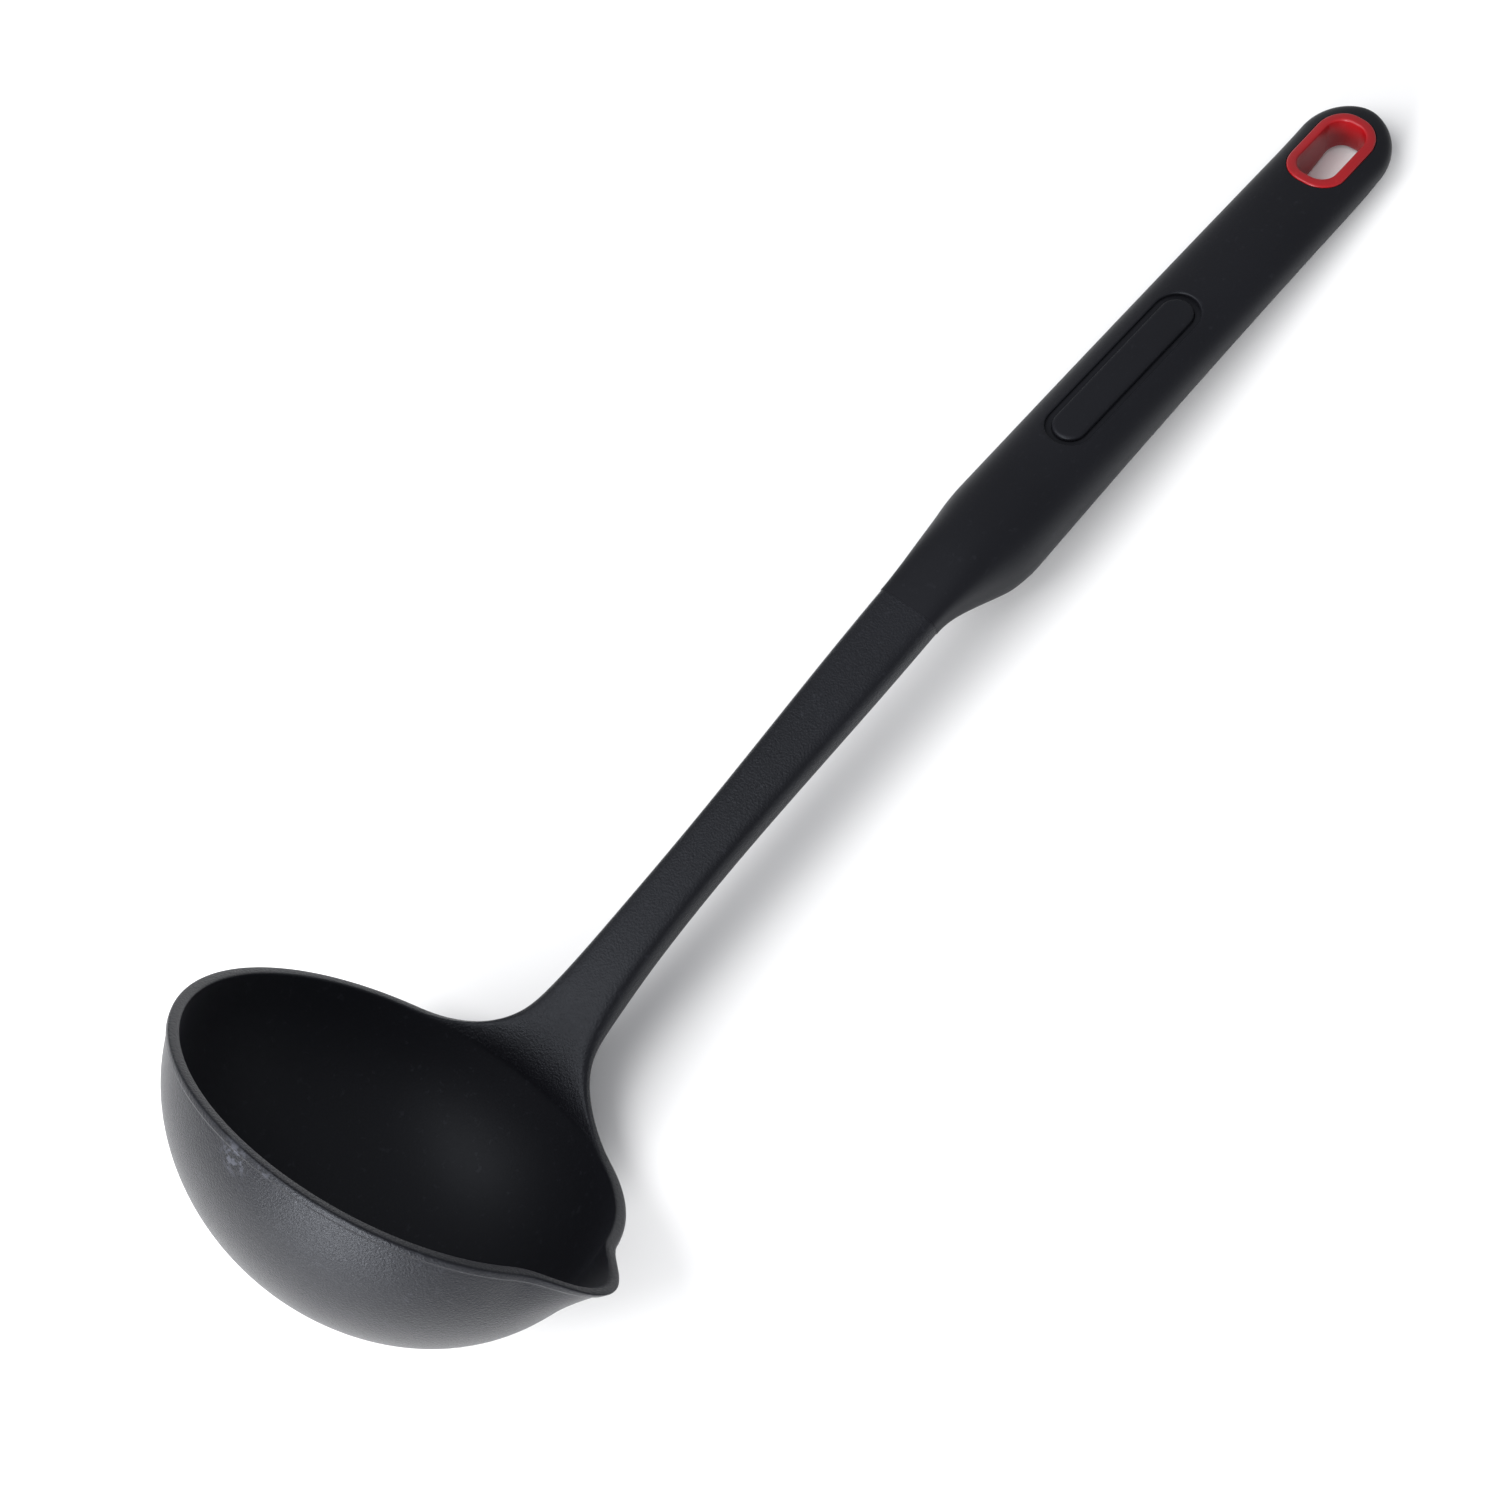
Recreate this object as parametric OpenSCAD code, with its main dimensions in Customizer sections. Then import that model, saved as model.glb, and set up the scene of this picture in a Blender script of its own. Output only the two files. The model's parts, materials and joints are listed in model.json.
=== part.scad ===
// Soup ladle: a deep bowl with a side pouring lip, a slim shank, a grip with a belly,
// a lined hang hole and a blank oval badge.
//
// Modelling frame: origin at the middle of the rim, +X towards the handle, +Z out of the bowl.
// lay() turns the finished pieces to the stored frame, where the ladle lies on a table:
// the back of the bowl and the end of the grip touch Z = 0, and +X runs along the handle.

/* [Bowl] */
// Width of the bowl across the rim, from side to side
bowl_width = 92; // [72:1:112]
// Length of the bowl along the rim, from front to handle
bowl_length = 86; // [68:1:104]
// Depth from the rim to the lowest outside point
bowl_depth = 41; // [33:0.5:50]
// How far the deepest point is set back towards the handle
bowl_setback = 5; // [0:0.5:10]
// Thickness of the bowl wall
bowl_wall = 2; // [1.6:0.1:2.6]
// How far the bead round the rim stands out from the wall
bead_out = 0.4; // [0.2:0.1:1]
// Height of the bead round the rim
bead_height = 1.4; // [1.2:0.1:2.5]

/* [Pouring lip] */
// How far the lip reaches out beyond the rim
lip_reach = 7.5; // [4:0.5:10]
// Width of the lip along the rim, from foot to foot
lip_width = 32; // [24:1:40]
// Direction of the lip, measured from the handle (-90 is square to it)
lip_direction = -91.5; // [-105:0.5:-80]
// Share of the bowl depth over which the lip dies away
lip_drop = 0.4; // [0.3:0.05:0.8]

/* [Neck and shank] */
// Length from the rim to the bend where the grip starts, along the top
shank_length = 140; // [110:1:170]
// Rise of the shank from the plane of the rim
shank_angle = 60; // [50:0.5:65]
// Direction in which the neck leaves the rim
root_angle = 103; // [90:1:108]
// Distance over which the neck turns into the shank
neck_turn = 13.5; // [10:0.5:16]
// Radius of the corner between the rim and the neck
neck_corner = 14; // [9:0.5:16]
// How much wider than the shank the foot of the neck is on each side
neck_spread = 6.4; // [4:0.2:8]
// Width of the shank at its slimmest
shank_width = 11.2; // [9:0.1:13]
// Width of the shank where it meets the grip
shank_end_width = 14.2; // [12:0.1:15]
// Thickness of the shank
shank_thickness = 7.2; // [6:0.1:8.6]

/* [Grip] */
// Length of the grip beyond the bend, to its round end
grip_length = 136.5; // [110:1:160]
// Rise of the grip from the plane of the rim
grip_angle = 51.9; // [46:0.1:56]
// Width of the grip at its belly
grip_width = 22.5; // [19:0.5:26]
// Width of the grip at its round end
grip_end_width = 21; // [18:0.2:25]
// Thickness of the grip at its belly
grip_belly = 19.6; // [15:0.2:22]
// Thickness of the grip at its round end
grip_end_thickness = 10.8; // [9:0.2:13]
// How much thinner the very tip is, cut away from below
tip_rise = 5.5; // [2:0.5:6]
// Length over which the underside rises to the tip
tip_taper = 22; // [16:1:30]
// Length of the flare between the shank and the belly
flare_length = 22.5; // [17:0.5:26]
// Distance from the bend to the thickest place of the belly
belly_place = 7; // [6:0.5:14]

/* [Hang hole] */
// Distance from the round end to the middle of the hang hole
hole_inset = 14.6; // [14:0.2:20]
// Length of the opening along the grip
hole_length = 17; // [12:0.2:18]
// Width of the opening across the grip
hole_width = 9.2; // [7:0.2:11]
// Width of the visible ring round the opening
ring_width = 2.2; // [1.6:0.1:2.8]
// Thickness of the liner sleeve below its ring
sleeve_wall = 1.3; // [1:0.1:1.5]
// Depth of the ring that sits in the grip
ring_depth = 1.8; // [1.2:0.1:2.6]
// How far the ring stands above the grip
ring_proud = 0.3; // [0:0.1:0.6]

/* [Badge] */
// Distance from the bend to the middle of the badge
badge_place = 50.5; // [38:0.5:62]
// Length of the recess round the badge
badge_length = 45.5; // [34:0.5:54]
// Width of the recess round the badge
badge_width = 10.4; // [8:0.2:13]
// Gap seen between the badge and the edge of its recess
badge_moat = 1.4; // [0.8:0.1:1.8]
// Depth of the recess round the badge, below the top of the grip
badge_recess = 1.1; // [0.8:0.1:1.4]
// How deep the badge is let in below the floor of the recess
badge_seat = 1; // [0.6:0.1:1.4]

/* [Tang and fits] */
// Width of the tang inside the grip
tang_width = 9; // [7:0.5:10]
// Thickness of the tang inside the grip
tang_thickness = 4; // [3:0.2:5]
// Distance from the end of the tang to the round end of the grip
tang_stop = 38.5; // [36:0.5:60]
// Depth of the middle of the tang below the top of the grip
tang_depth = 5.6; // [5.2:0.1:6]
// Clearance on each side of the tang, the liner and the badge
fit_gap = 0.1; // [0.05:0.05:0.3]

/* [Hidden] */
$fn = 64;

around = 72;         // points round each ring of the bowl
bowl_rings = 9;      // rings down each side of the bowl
section_points = 28; // points round each section of the handle
embed = 0.7;         // depth to which the neck is sunk into the bowl wall
root_depth = 2.5;    // how far the neck runs down inside the wall
grip_cut = shank_length - flare_length + 3; // where the grip ends and the bare shank starts
handle_length = shank_length + grip_length;
end_radius = grip_end_width / 2;
bend_blend = 8;      // half the length over which the shank turns into the grip

// ---- small helpers -------------------------------------------------------------------

function clamp01(t) = max(0, min(1, t));

function smooth(t) = let (u = clamp01(t)) u * u * (3 - 2 * u);

function mix(a, b, t) = a + (b - a) * t;

function spow(v, e) = sign(v) * pow(abs(v), e);

// A closed skin through rings of equal length, capped to one point at each end.
module skin(first, rings, last) {
    n = len(rings[0]);
    count = len(rings);
    points = concat([first], [for (ring = rings) for (p = ring) p], [last]);
    faces = concat(
        [for (i = [0:n - 1]) [0, 1 + (i + 1) % n, 1 + i]],
        [for (k = [0:count - 2]) for (i = [0:n - 1])
            let (a = 1 + k * n + i, b = 1 + k * n + (i + 1) % n) [a, b, b + n]],
        [for (k = [0:count - 2]) for (i = [0:n - 1])
            let (a = 1 + k * n + i, b = 1 + k * n + (i + 1) % n) [a, b + n, a + n]],
        [for (i = [0:n - 1])
            let (base = 1 + (count - 1) * n) [base + i, base + (i + 1) % n, 1 + count * n]]
    );
    polyhedron(points = points, faces = faces, convexity = 6);
}

// ---- bowl ----------------------------------------------------------------------------

// Height of the raised cosine that carries the lip out, at one direction round the rim
function lip_bump(direction) =
    let (off = (direction - lip_direction + 540) % 360 - 180,
         along = off * PI / 180 * bowl_width / 2)
    abs(along) < lip_width / 2 ? lip_reach * (1 + cos(360 * along / lip_width)) / 2 : 0;

// The lip dies away down the wall
function lip_fade(z) = pow(clamp01(1 + z / (bowl_depth * lip_drop)), 2);

// The bead stops where the neck takes over from the rim
function bead_fade(direction) =
    smooth((abs((direction + 540) % 360 - 180) - 18) / 16);

// One point of the bowl at height z, drawn in by inset and out by proud times the bead
function bowl_point(direction, z, inset, proud) =
    let (depth = bowl_depth - inset,
         shrink = sqrt(max(0, 1 - pow(z / depth, 2))),
         out = lip_bump(direction) * lip_fade(z) + proud * bead_fade(direction))
    [((bowl_length / 2 - inset) * shrink + out) * cos(direction) - bowl_setback * z / bowl_depth,
     ((bowl_width / 2 - inset) * shrink + out) * sin(direction),
     z];

function bowl_ring(z, inset, proud) =
    [for (i = [0:around - 1]) bowl_point(-i * 360 / around, z, inset, proud)];

// Rim section from the wall below the bead, over the top and down to the inner wall:
// height, inset from the outer face and share of the bead that stands proud
rim_round = 0.45;
rim_rings = [
    bowl_ring(-bead_height - bead_out, 0, 0),
    bowl_ring(-bead_height, 0, bead_out),
    bowl_ring(-rim_round, 0, bead_out),
    bowl_ring(-rim_round * 0.3, rim_round * 0.3, bead_out),
    bowl_ring(0, rim_round, bead_out),
    bowl_ring(0, bowl_wall - rim_round, 0),
    bowl_ring(-rim_round * 0.3, bowl_wall - rim_round * 0.3, 0),
    bowl_ring(-rim_round, bowl_wall, 0)
];

function wall_depths(depth, top) =
    let (start = asin(top / depth))
    [for (k = [0:bowl_rings - 1]) depth * sin(mix(start, 90, k / bowl_rings))];

outer_depths = wall_depths(bowl_depth, bead_height + bead_out + 1);
inner_depths = wall_depths(bowl_depth - bowl_wall, rim_round + 1.5);

outer_rings = [for (k = [bowl_rings - 1:-1:0]) bowl_ring(-outer_depths[k], 0, 0)];
inner_rings = [for (k = [0:bowl_rings - 1]) bowl_ring(-inner_depths[k], bowl_wall, 0)];

function bowl_pole(depth) = [bowl_setback * depth / bowl_depth, 0, -depth];

module bowl() {
    skin(bowl_pole(bowl_depth), concat(outer_rings, rim_rings, inner_rings),
         bowl_pole(bowl_depth - bowl_wall));
}

// ---- centre plane of the handle ----------------------------------------------------------

// Direction of the top of the handle at a distance s from the rim
function top_angle(s) =
    shank_angle
    + (grip_angle - shank_angle) * smooth((s - shank_length + bend_blend) / (2 * bend_blend))
    + (root_angle - shank_angle) * exp(-max(0, s) / neck_turn);

root_start = [bowl_length / 2 - bowl_wall + embed, 0]
    - root_depth * [cos(root_angle), sin(root_angle)];

top_steps = [for (s = -root_depth, p = root_start; s <= handle_length + 1;
                  p = p + [cos(top_angle(s + 0.5)), sin(top_angle(s + 0.5))], s = s + 1) [s, p]];
top_x = [for (step = top_steps) [step[0], step[1][0]]];
top_z = [for (step = top_steps) [step[0], step[1][1]]];

function top_point(s) = [lookup(s, top_x), lookup(s, top_z)];

// ---- sections of the handle ----------------------------------------------------------------

function neck_half_width(s) =
    let (fillet = s < neck_corner
             ? neck_corner - sqrt(pow(neck_corner, 2) - pow(neck_corner - max(0, s), 2))
             : 0,
         spread = neck_spread * exp(-max(0, s) / neck_turn),
         shank = mix(shank_width, shank_end_width,
                     smooth((s - shank_length * 0.35) / (grip_cut - shank_length * 0.35))) / 2)
    shank + spread + fillet;

// The neck starts inside the bowl wall and is soon as thick as it
function neck_thickness(s) =
    mix(bowl_wall - 2 * embed * exp(-max(0, s) / 2), shank_thickness, smooth(s / (2 * neck_turn)));

// Hollow of the neck's face, which follows the curve of the rim at its foot
function neck_hollow(s, y) =
    let (share = min(0.95, abs(y) / (bowl_width / 2)))
    bowl_length / 2 * (1 - sqrt(1 - share * share)) * exp(-max(0, s) / neck_turn);

flare_top = shank_length + 3;

function grip_half_width(s) =
    let (flared = smooth((s - grip_cut) / (flare_length + 7)),
         body = mix(grip_width, grip_end_width, clamp01((s - flare_top) / (grip_length - 3))),
         over = clamp01((s - handle_length + end_radius) / end_radius))
    mix(shank_end_width, body, flared) / 2 * sqrt(1 - over * over);

function grip_thickness(s) =
    let (belly_start = shank_length + belly_place,
         back = clamp01((handle_length - s) / (handle_length - belly_start)),
         rising = clamp01((s - handle_length + tip_taper) / tip_taper),
         body = mix(grip_end_thickness, grip_belly, back * back) - tip_rise * rising * rising)
    mix(shank_thickness, body, smooth((s - grip_cut) / flare_length));

// The round end is blunt seen from the side
function end_fullness(s) =
    let (over = clamp01((s - handle_length + end_radius) / end_radius))
    pow(1 - pow(over, 5), 1 / 5);

// One section: a rounded rectangle, hung below the top line
function section(s, half_width, thickness, fullness, squareness, hollowed) =
    let (top = top_point(s),
         a = top_angle(s),
         along = [cos(a), 0, sin(a)],
         up = [-sin(a), 0, cos(a)])
    [for (i = [0:section_points - 1])
        let (t = -360 * i / section_points,
             y = half_width * spow(cos(t), 2 / squareness),
             lift = thickness / 2 * fullness * spow(sin(t), 2 / squareness) - thickness / 2,
             hollow = hollowed ? neck_hollow(s, y) : 0)
        [top[0], y, top[1]] + up * (lift + hollow)];

function section_middle(s, thickness) =
    let (top = top_point(s), a = top_angle(s))
    [top[0] + sin(a) * thickness / 2, 0, top[1] - cos(a) * thickness / 2];

neck_end = 2.2 * neck_turn;
corner_stations = [for (k = [0:9]) neck_corner * pow(k / 9, 2)];
neck_stations = [for (k = [1:4]) mix(neck_corner, neck_end, k / 4)];
shank_stations = [for (k = [1:12]) mix(neck_end, grip_cut, k / 12)];
head_stations = concat([-root_depth], corner_stations, neck_stations, shank_stations);
tang_lengths = 8; // stretches that the tang is built from
slice = 1;        // thickness of the slices that the stretches share

shank_square = 4;  // squareness of the shank's section
grip_square = 2.5; // squareness of the grip's section

function head_section(s) =
    section(s, neck_half_width(s), neck_thickness(s), 1, shank_square, s < neck_end - 1);

// Neck and shank: one skin from inside the rim to the grip
module neck_and_shank() {
    skin(section_middle(-root_depth, neck_thickness(-root_depth)),
         [for (s = head_stations) head_section(s)],
         section_middle(grip_cut, shank_thickness));
}

flare_stations = [for (k = [0:14]) mix(grip_cut, flare_top + 8, k / 14)];
body_stations = [for (k = [1:12]) mix(flare_top + 8, handle_length - end_radius, k / 12)];
end_stations = [for (k = [1:9]) handle_length - end_radius * (1 - sin(k * 9.8))];
grip_stations = concat(flare_stations, body_stations, end_stations);

function grip_squareness(s) =
    mix(shank_square, grip_square, smooth((s - grip_cut) / flare_length));

grip_sections = [for (s = grip_stations)
    section(s, grip_half_width(s), grip_thickness(s), end_fullness(s),
            grip_squareness(s), false)];

// Puts children on the straight top of the grip: +X along it, +Z out of it
module on_grip(s) {
    top = top_point(s);
    translate([top[0], 0, top[1]])
        rotate([0, -grip_angle, 0])
            children();
}

// ---- flat outlines ---------------------------------------------------------------------------

// A rectangle with true round corners
module rounded_outline(length, width, radius) {
    square([length - 2 * radius, width], center = true);
    square([length, width - 2 * radius], center = true);
    for (x = [-1, 1])
        for (y = [-1, 1])
            translate([x * (length / 2 - radius), y * (width / 2 - radius)])
                circle(r = radius);
}

// A bar with full round ends
module bar_outline(length, width) {
    square([length - width, width], center = true);
    for (x = [-1, 1])
        translate([x * (length - width) / 2, 0])
            circle(d = width);
}

// ---- fits inside the grip -----------------------------------------------------------------------

straight_start = shank_length + bend_blend;
tang_start = grip_cut - 4 - straight_start;
tang_end = handle_length - tang_stop - straight_start;

module tang(gap) {
    on_grip(straight_start)
        translate([tang_start, -tang_width / 2 - gap, -tang_depth - tang_thickness / 2 - gap])
            cube([tang_end - tang_start + gap, tang_width + 2 * gap, tang_thickness + 2 * gap]);
}

// The same bar, built as a chain of hulls from slice to slice
module tang_bar() {
    on_grip(straight_start)
        for (k = [0:tang_lengths - 1])
            hull()
                for (end = [k, k + 1])
                    translate([mix(tang_start, tang_end - slice, end / tang_lengths),
                               -tang_width / 2, -tang_depth - tang_thickness / 2])
                        cube([slice, tang_width, tang_thickness]);
}

hole_place = handle_length - hole_inset;
hole_corner = hole_width * 0.42;
ring_length = hole_length + 2 * ring_width;
ring_across = hole_width + 2 * ring_width;
clear_depth = 2 * grip_end_thickness; // a cut this deep passes right through the grip

// Flat shapes seen from above the hang hole, widened by a gap
module ring_shape(gap) {
    rounded_outline(ring_length + 2 * gap, ring_across + 2 * gap,
                    hole_corner + ring_width + gap);
}

module sleeve_shape(gap) {
    rounded_outline(hole_length + 2 * (sleeve_wall + gap), hole_width + 2 * (sleeve_wall + gap),
                    hole_corner + sleeve_wall + gap);
}

// A prism through the grip at the hang hole, from a depth below its top to a height above it
module through_grip(depth, height) {
    on_grip(hole_place)
        translate([0, 0, -depth])
            linear_extrude(depth + height)
                children();
}

badge_bar = badge_length - 2 * badge_moat;
badge_across = badge_width - 2 * badge_moat;

// ---- pieces --------------------------------------------------------------------------------------

// Bowl, pouring lip, neck, shank and tang: one moulding
module ladle_head() {
    color([0.07, 0.07, 0.08]) {
        bowl();
        neck_and_shank();
        tang_bar();
    }
}

// The outer shape of the grip, before anything is cut from it
module grip_shell() {
    skin(section_middle(grip_cut, shank_thickness), grip_sections,
         section_middle(handle_length, grip_thickness(handle_length)));
}

// Grip moulded round the tang, with seats for the liner and the badge
module handle_grip() {
    color([0.05, 0.05, 0.06])
        difference() {
            grip_shell();
            tang(fit_gap);
            through_grip(ring_depth + fit_gap, ring_depth)
                ring_shape(fit_gap);
            through_grip(clear_depth, 0)
                sleeve_shape(fit_gap);
            on_grip(shank_length + badge_place) {
                translate([0, 0, -badge_recess])
                    linear_extrude(2 * badge_recess)
                        bar_outline(badge_length, badge_width);
                translate([0, 0, -badge_recess - badge_seat])
                    linear_extrude(badge_recess + badge_seat)
                        bar_outline(badge_bar + 2 * fit_gap, badge_across + 2 * fit_gap);
            }
        }
}

// Coloured sleeve with a ring, through the grip and flush with it below
module hang_hole_liner() {
    color([0.72, 0.05, 0.07])
        difference() {
            union() {
                intersection() {
                    through_grip(ring_depth, ring_depth)
                        ring_shape(0);
                    translate(ring_proud * [-sin(grip_angle), 0, cos(grip_angle)])
                        grip_shell();
                }
                intersection() {
                    through_grip(clear_depth, 0)
                        sleeve_shape(0);
                    grip_shell();
                }
            }
            through_grip(clear_depth, clear_depth)
                rounded_outline(hole_length, hole_width, hole_corner);
        }
}

// Blank oval pad, let into the grip
module badge_inlay() {
    color([0.06, 0.06, 0.07])
        on_grip(shank_length + badge_place)
            translate([0, 0, -badge_recess - badge_seat + fit_gap])
                linear_extrude(badge_recess + badge_seat - fit_gap)
                    bar_outline(badge_bar, badge_across);
}

// ---- lying on a table ------------------------------------------------------------------------------

bowl_cloud = concat([for (ring = concat(outer_rings, rim_rings)) for (p = ring) p]);
grip_cloud = [for (ring = grip_sections) for (p = ring) p];

function heights(cloud, tilt) = [for (p = cloud) p[2] * cos(tilt) - p[0] * sin(tilt)];

function reaches(cloud, tilt) = [for (p = cloud) p[0] * cos(tilt) + p[2] * sin(tilt)];

// Tilt at which the bowl and the grip reach equally low, found by halving the interval
function lying_tilt(low, high, rounds) =
    let (mid = (low + high) / 2,
         over = min(heights(grip_cloud, mid)) - min(heights(bowl_cloud, mid)))
    rounds == 0 ? mid
    : over > 0 ? lying_tilt(mid, high, rounds - 1)
    : lying_tilt(low, mid, rounds - 1);

tilt = lying_tilt(20, 80, 22);
floor_z = min(heights(bowl_cloud, tilt));
far_x = max(reaches(grip_cloud, tilt));
near_x = min(reaches(bowl_cloud, tilt));
side_y = [for (p = bowl_cloud) p[1]];

module lay() {
    translate([-(far_x + near_x) / 2, -(max(side_y) + min(side_y)) / 2, -floor_z])
        rotate([0, tilt, 0])
            children();
}

lay() ladle_head();
lay() handle_grip();
lay() hang_hole_liner();
lay() badge_inlay();
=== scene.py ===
"""Soup ladle: a nylon head with a side pouring lip, a satin grip, a red hang-hole liner and a blank badge.

Shapes are worked out in the maker's frame, in millimetres: the origin is the middle of the rim, +X points
towards the handle and +Z out of the bowl. RowFrame turns them to the stored frame, in metres, where the
ladle lies on a table.
"""

import json
import logging
import math
from dataclasses import dataclass, field
from enum import Enum
from typing import Callable, Iterable, Sequence

import bpy
import numpy as np
from mathutils import Matrix, Vector


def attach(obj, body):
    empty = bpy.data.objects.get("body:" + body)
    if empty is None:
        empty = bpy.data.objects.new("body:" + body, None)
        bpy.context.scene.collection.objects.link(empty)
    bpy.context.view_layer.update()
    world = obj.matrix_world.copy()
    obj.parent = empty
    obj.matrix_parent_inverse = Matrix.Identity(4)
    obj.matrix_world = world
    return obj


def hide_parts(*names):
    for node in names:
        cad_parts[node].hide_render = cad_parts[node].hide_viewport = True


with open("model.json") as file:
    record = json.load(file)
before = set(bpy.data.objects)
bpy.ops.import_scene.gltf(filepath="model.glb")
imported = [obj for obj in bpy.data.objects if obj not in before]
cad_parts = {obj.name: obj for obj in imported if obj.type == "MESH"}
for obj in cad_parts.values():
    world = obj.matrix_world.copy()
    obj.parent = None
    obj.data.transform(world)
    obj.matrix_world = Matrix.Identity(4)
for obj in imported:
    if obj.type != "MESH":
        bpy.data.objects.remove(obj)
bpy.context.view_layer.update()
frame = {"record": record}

MM = 0.001
log = logging.getLogger("ladle")


# ---- small maths -------------------------------------------------------------------------------


def clamp01(t: float) -> float:
    """Holds a value between 0 and 1."""
    return max(0.0, min(1.0, t))


def smooth(t: float) -> float:
    """Eases from 0 to 1 with level ends."""
    u = clamp01(t)
    return u * u * (3 - 2 * u)


def mix(a: float, b: float, t: float) -> float:
    """Goes from a to b in proportion to t."""
    return a + (b - a) * t


def signed_power(value: float, exponent: float) -> float:
    """Raises the size of a value to a power and keeps its sign."""
    return math.copysign(abs(value) ** exponent, value)


def superellipse_rest(share: float, squareness: float) -> float:
    """Gives one half-axis share of a superellipse from the other.

    Args:
        share: Share of the first half-axis, from -1 to 1.
        squareness: Exponent of the curve; 2 is an ellipse.

    Returns:
        The matching positive share of the second half-axis.
    """
    return max(0.0, 1 - min(1.0, abs(share)) ** squareness) ** (1 / squareness)


# ---- sizes ---------------------------------------------------------------------------------------


@dataclass(frozen=True)
class BowlSizes:
    """Sizes of the bowl and its rim, in millimetres."""

    width: float = 92.0
    length: float = 86.0
    depth: float = 41.0
    setback: float = 5.0
    wall: float = 2.0
    bead_out: float = 0.4
    bead_height: float = 1.4
    rim_round: float = 0.45


@dataclass(frozen=True)
class LipSizes:
    """Sizes of the pouring lip: millimetres, and degrees measured from the handle."""

    reach: float = 7.5
    width: float = 32.0
    direction: float = -91.5
    drop: float = 0.4


@dataclass(frozen=True)
class HandleSizes:
    """Sizes of the neck, the shank and the grip: millimetres and degrees."""

    shank_length: float = 140.0
    shank_angle: float = 60.0
    root_angle: float = 103.0
    root_depth: float = 2.5
    neck_turn: float = 13.5
    neck_corner: float = 14.0
    neck_spread: float = 6.4
    embed: float = 0.7
    shank_width: float = 11.2
    shank_end_width: float = 14.2
    shank_thickness: float = 7.2
    grip_length: float = 136.5
    grip_angle: float = 51.9
    grip_width: float = 22.5
    grip_end_width: float = 21.0
    grip_belly: float = 19.6
    grip_end_thickness: float = 10.8
    tip_rise: float = 5.5
    tip_taper: float = 22.0
    flare_length: float = 22.5
    belly_place: float = 7.0
    bend_blend: float = 8.0
    shank_square: float = 4.0
    grip_square: float = 2.5

    @property
    def length(self) -> float:
        """Distance from the rim to the round end, along the top."""
        return self.shank_length + self.grip_length

    @property
    def grip_cut(self) -> float:
        """Place where the grip ends and the bare shank starts."""
        return self.shank_length - self.flare_length + 3

    @property
    def flare_top(self) -> float:
        """Place where the grip is at its widest."""
        return self.shank_length + 3

    @property
    def end_radius(self) -> float:
        """Radius of the round end, seen from above."""
        return self.grip_end_width / 2

    @property
    def straight_start(self) -> float:
        """Place from which the top of the grip runs straight."""
        return self.shank_length + self.bend_blend


@dataclass(frozen=True)
class HoleSizes:
    """Sizes of the hang hole and its liner, in millimetres."""

    inset: float = 14.6
    length: float = 17.0
    width: float = 9.2
    ring_width: float = 2.2
    sleeve_wall: float = 1.3
    ring_depth: float = 1.8
    ring_proud: float = 0.3

    @property
    def corner(self) -> float:
        """Radius of the corners of the opening."""
        return self.width * 0.42


@dataclass(frozen=True)
class BadgeSizes:
    """Sizes of the blank badge and its recess, in millimetres."""

    place: float = 50.5
    length: float = 45.5
    width: float = 10.4
    moat: float = 1.4
    recess: float = 1.1
    seat: float = 1.0

    @property
    def pad_length(self) -> float:
        """Length of the pad itself."""
        return self.length - 2 * self.moat

    @property
    def pad_width(self) -> float:
        """Width of the pad itself."""
        return self.width - 2 * self.moat


@dataclass(frozen=True)
class TangSizes:
    """Sizes of the tang inside the grip and of the fits, in millimetres."""

    width: float = 9.0
    thickness: float = 4.0
    stop: float = 38.5
    depth: float = 5.6
    fit_gap: float = 0.1


# ---- the run of the handle -----------------------------------------------------------------------


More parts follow.
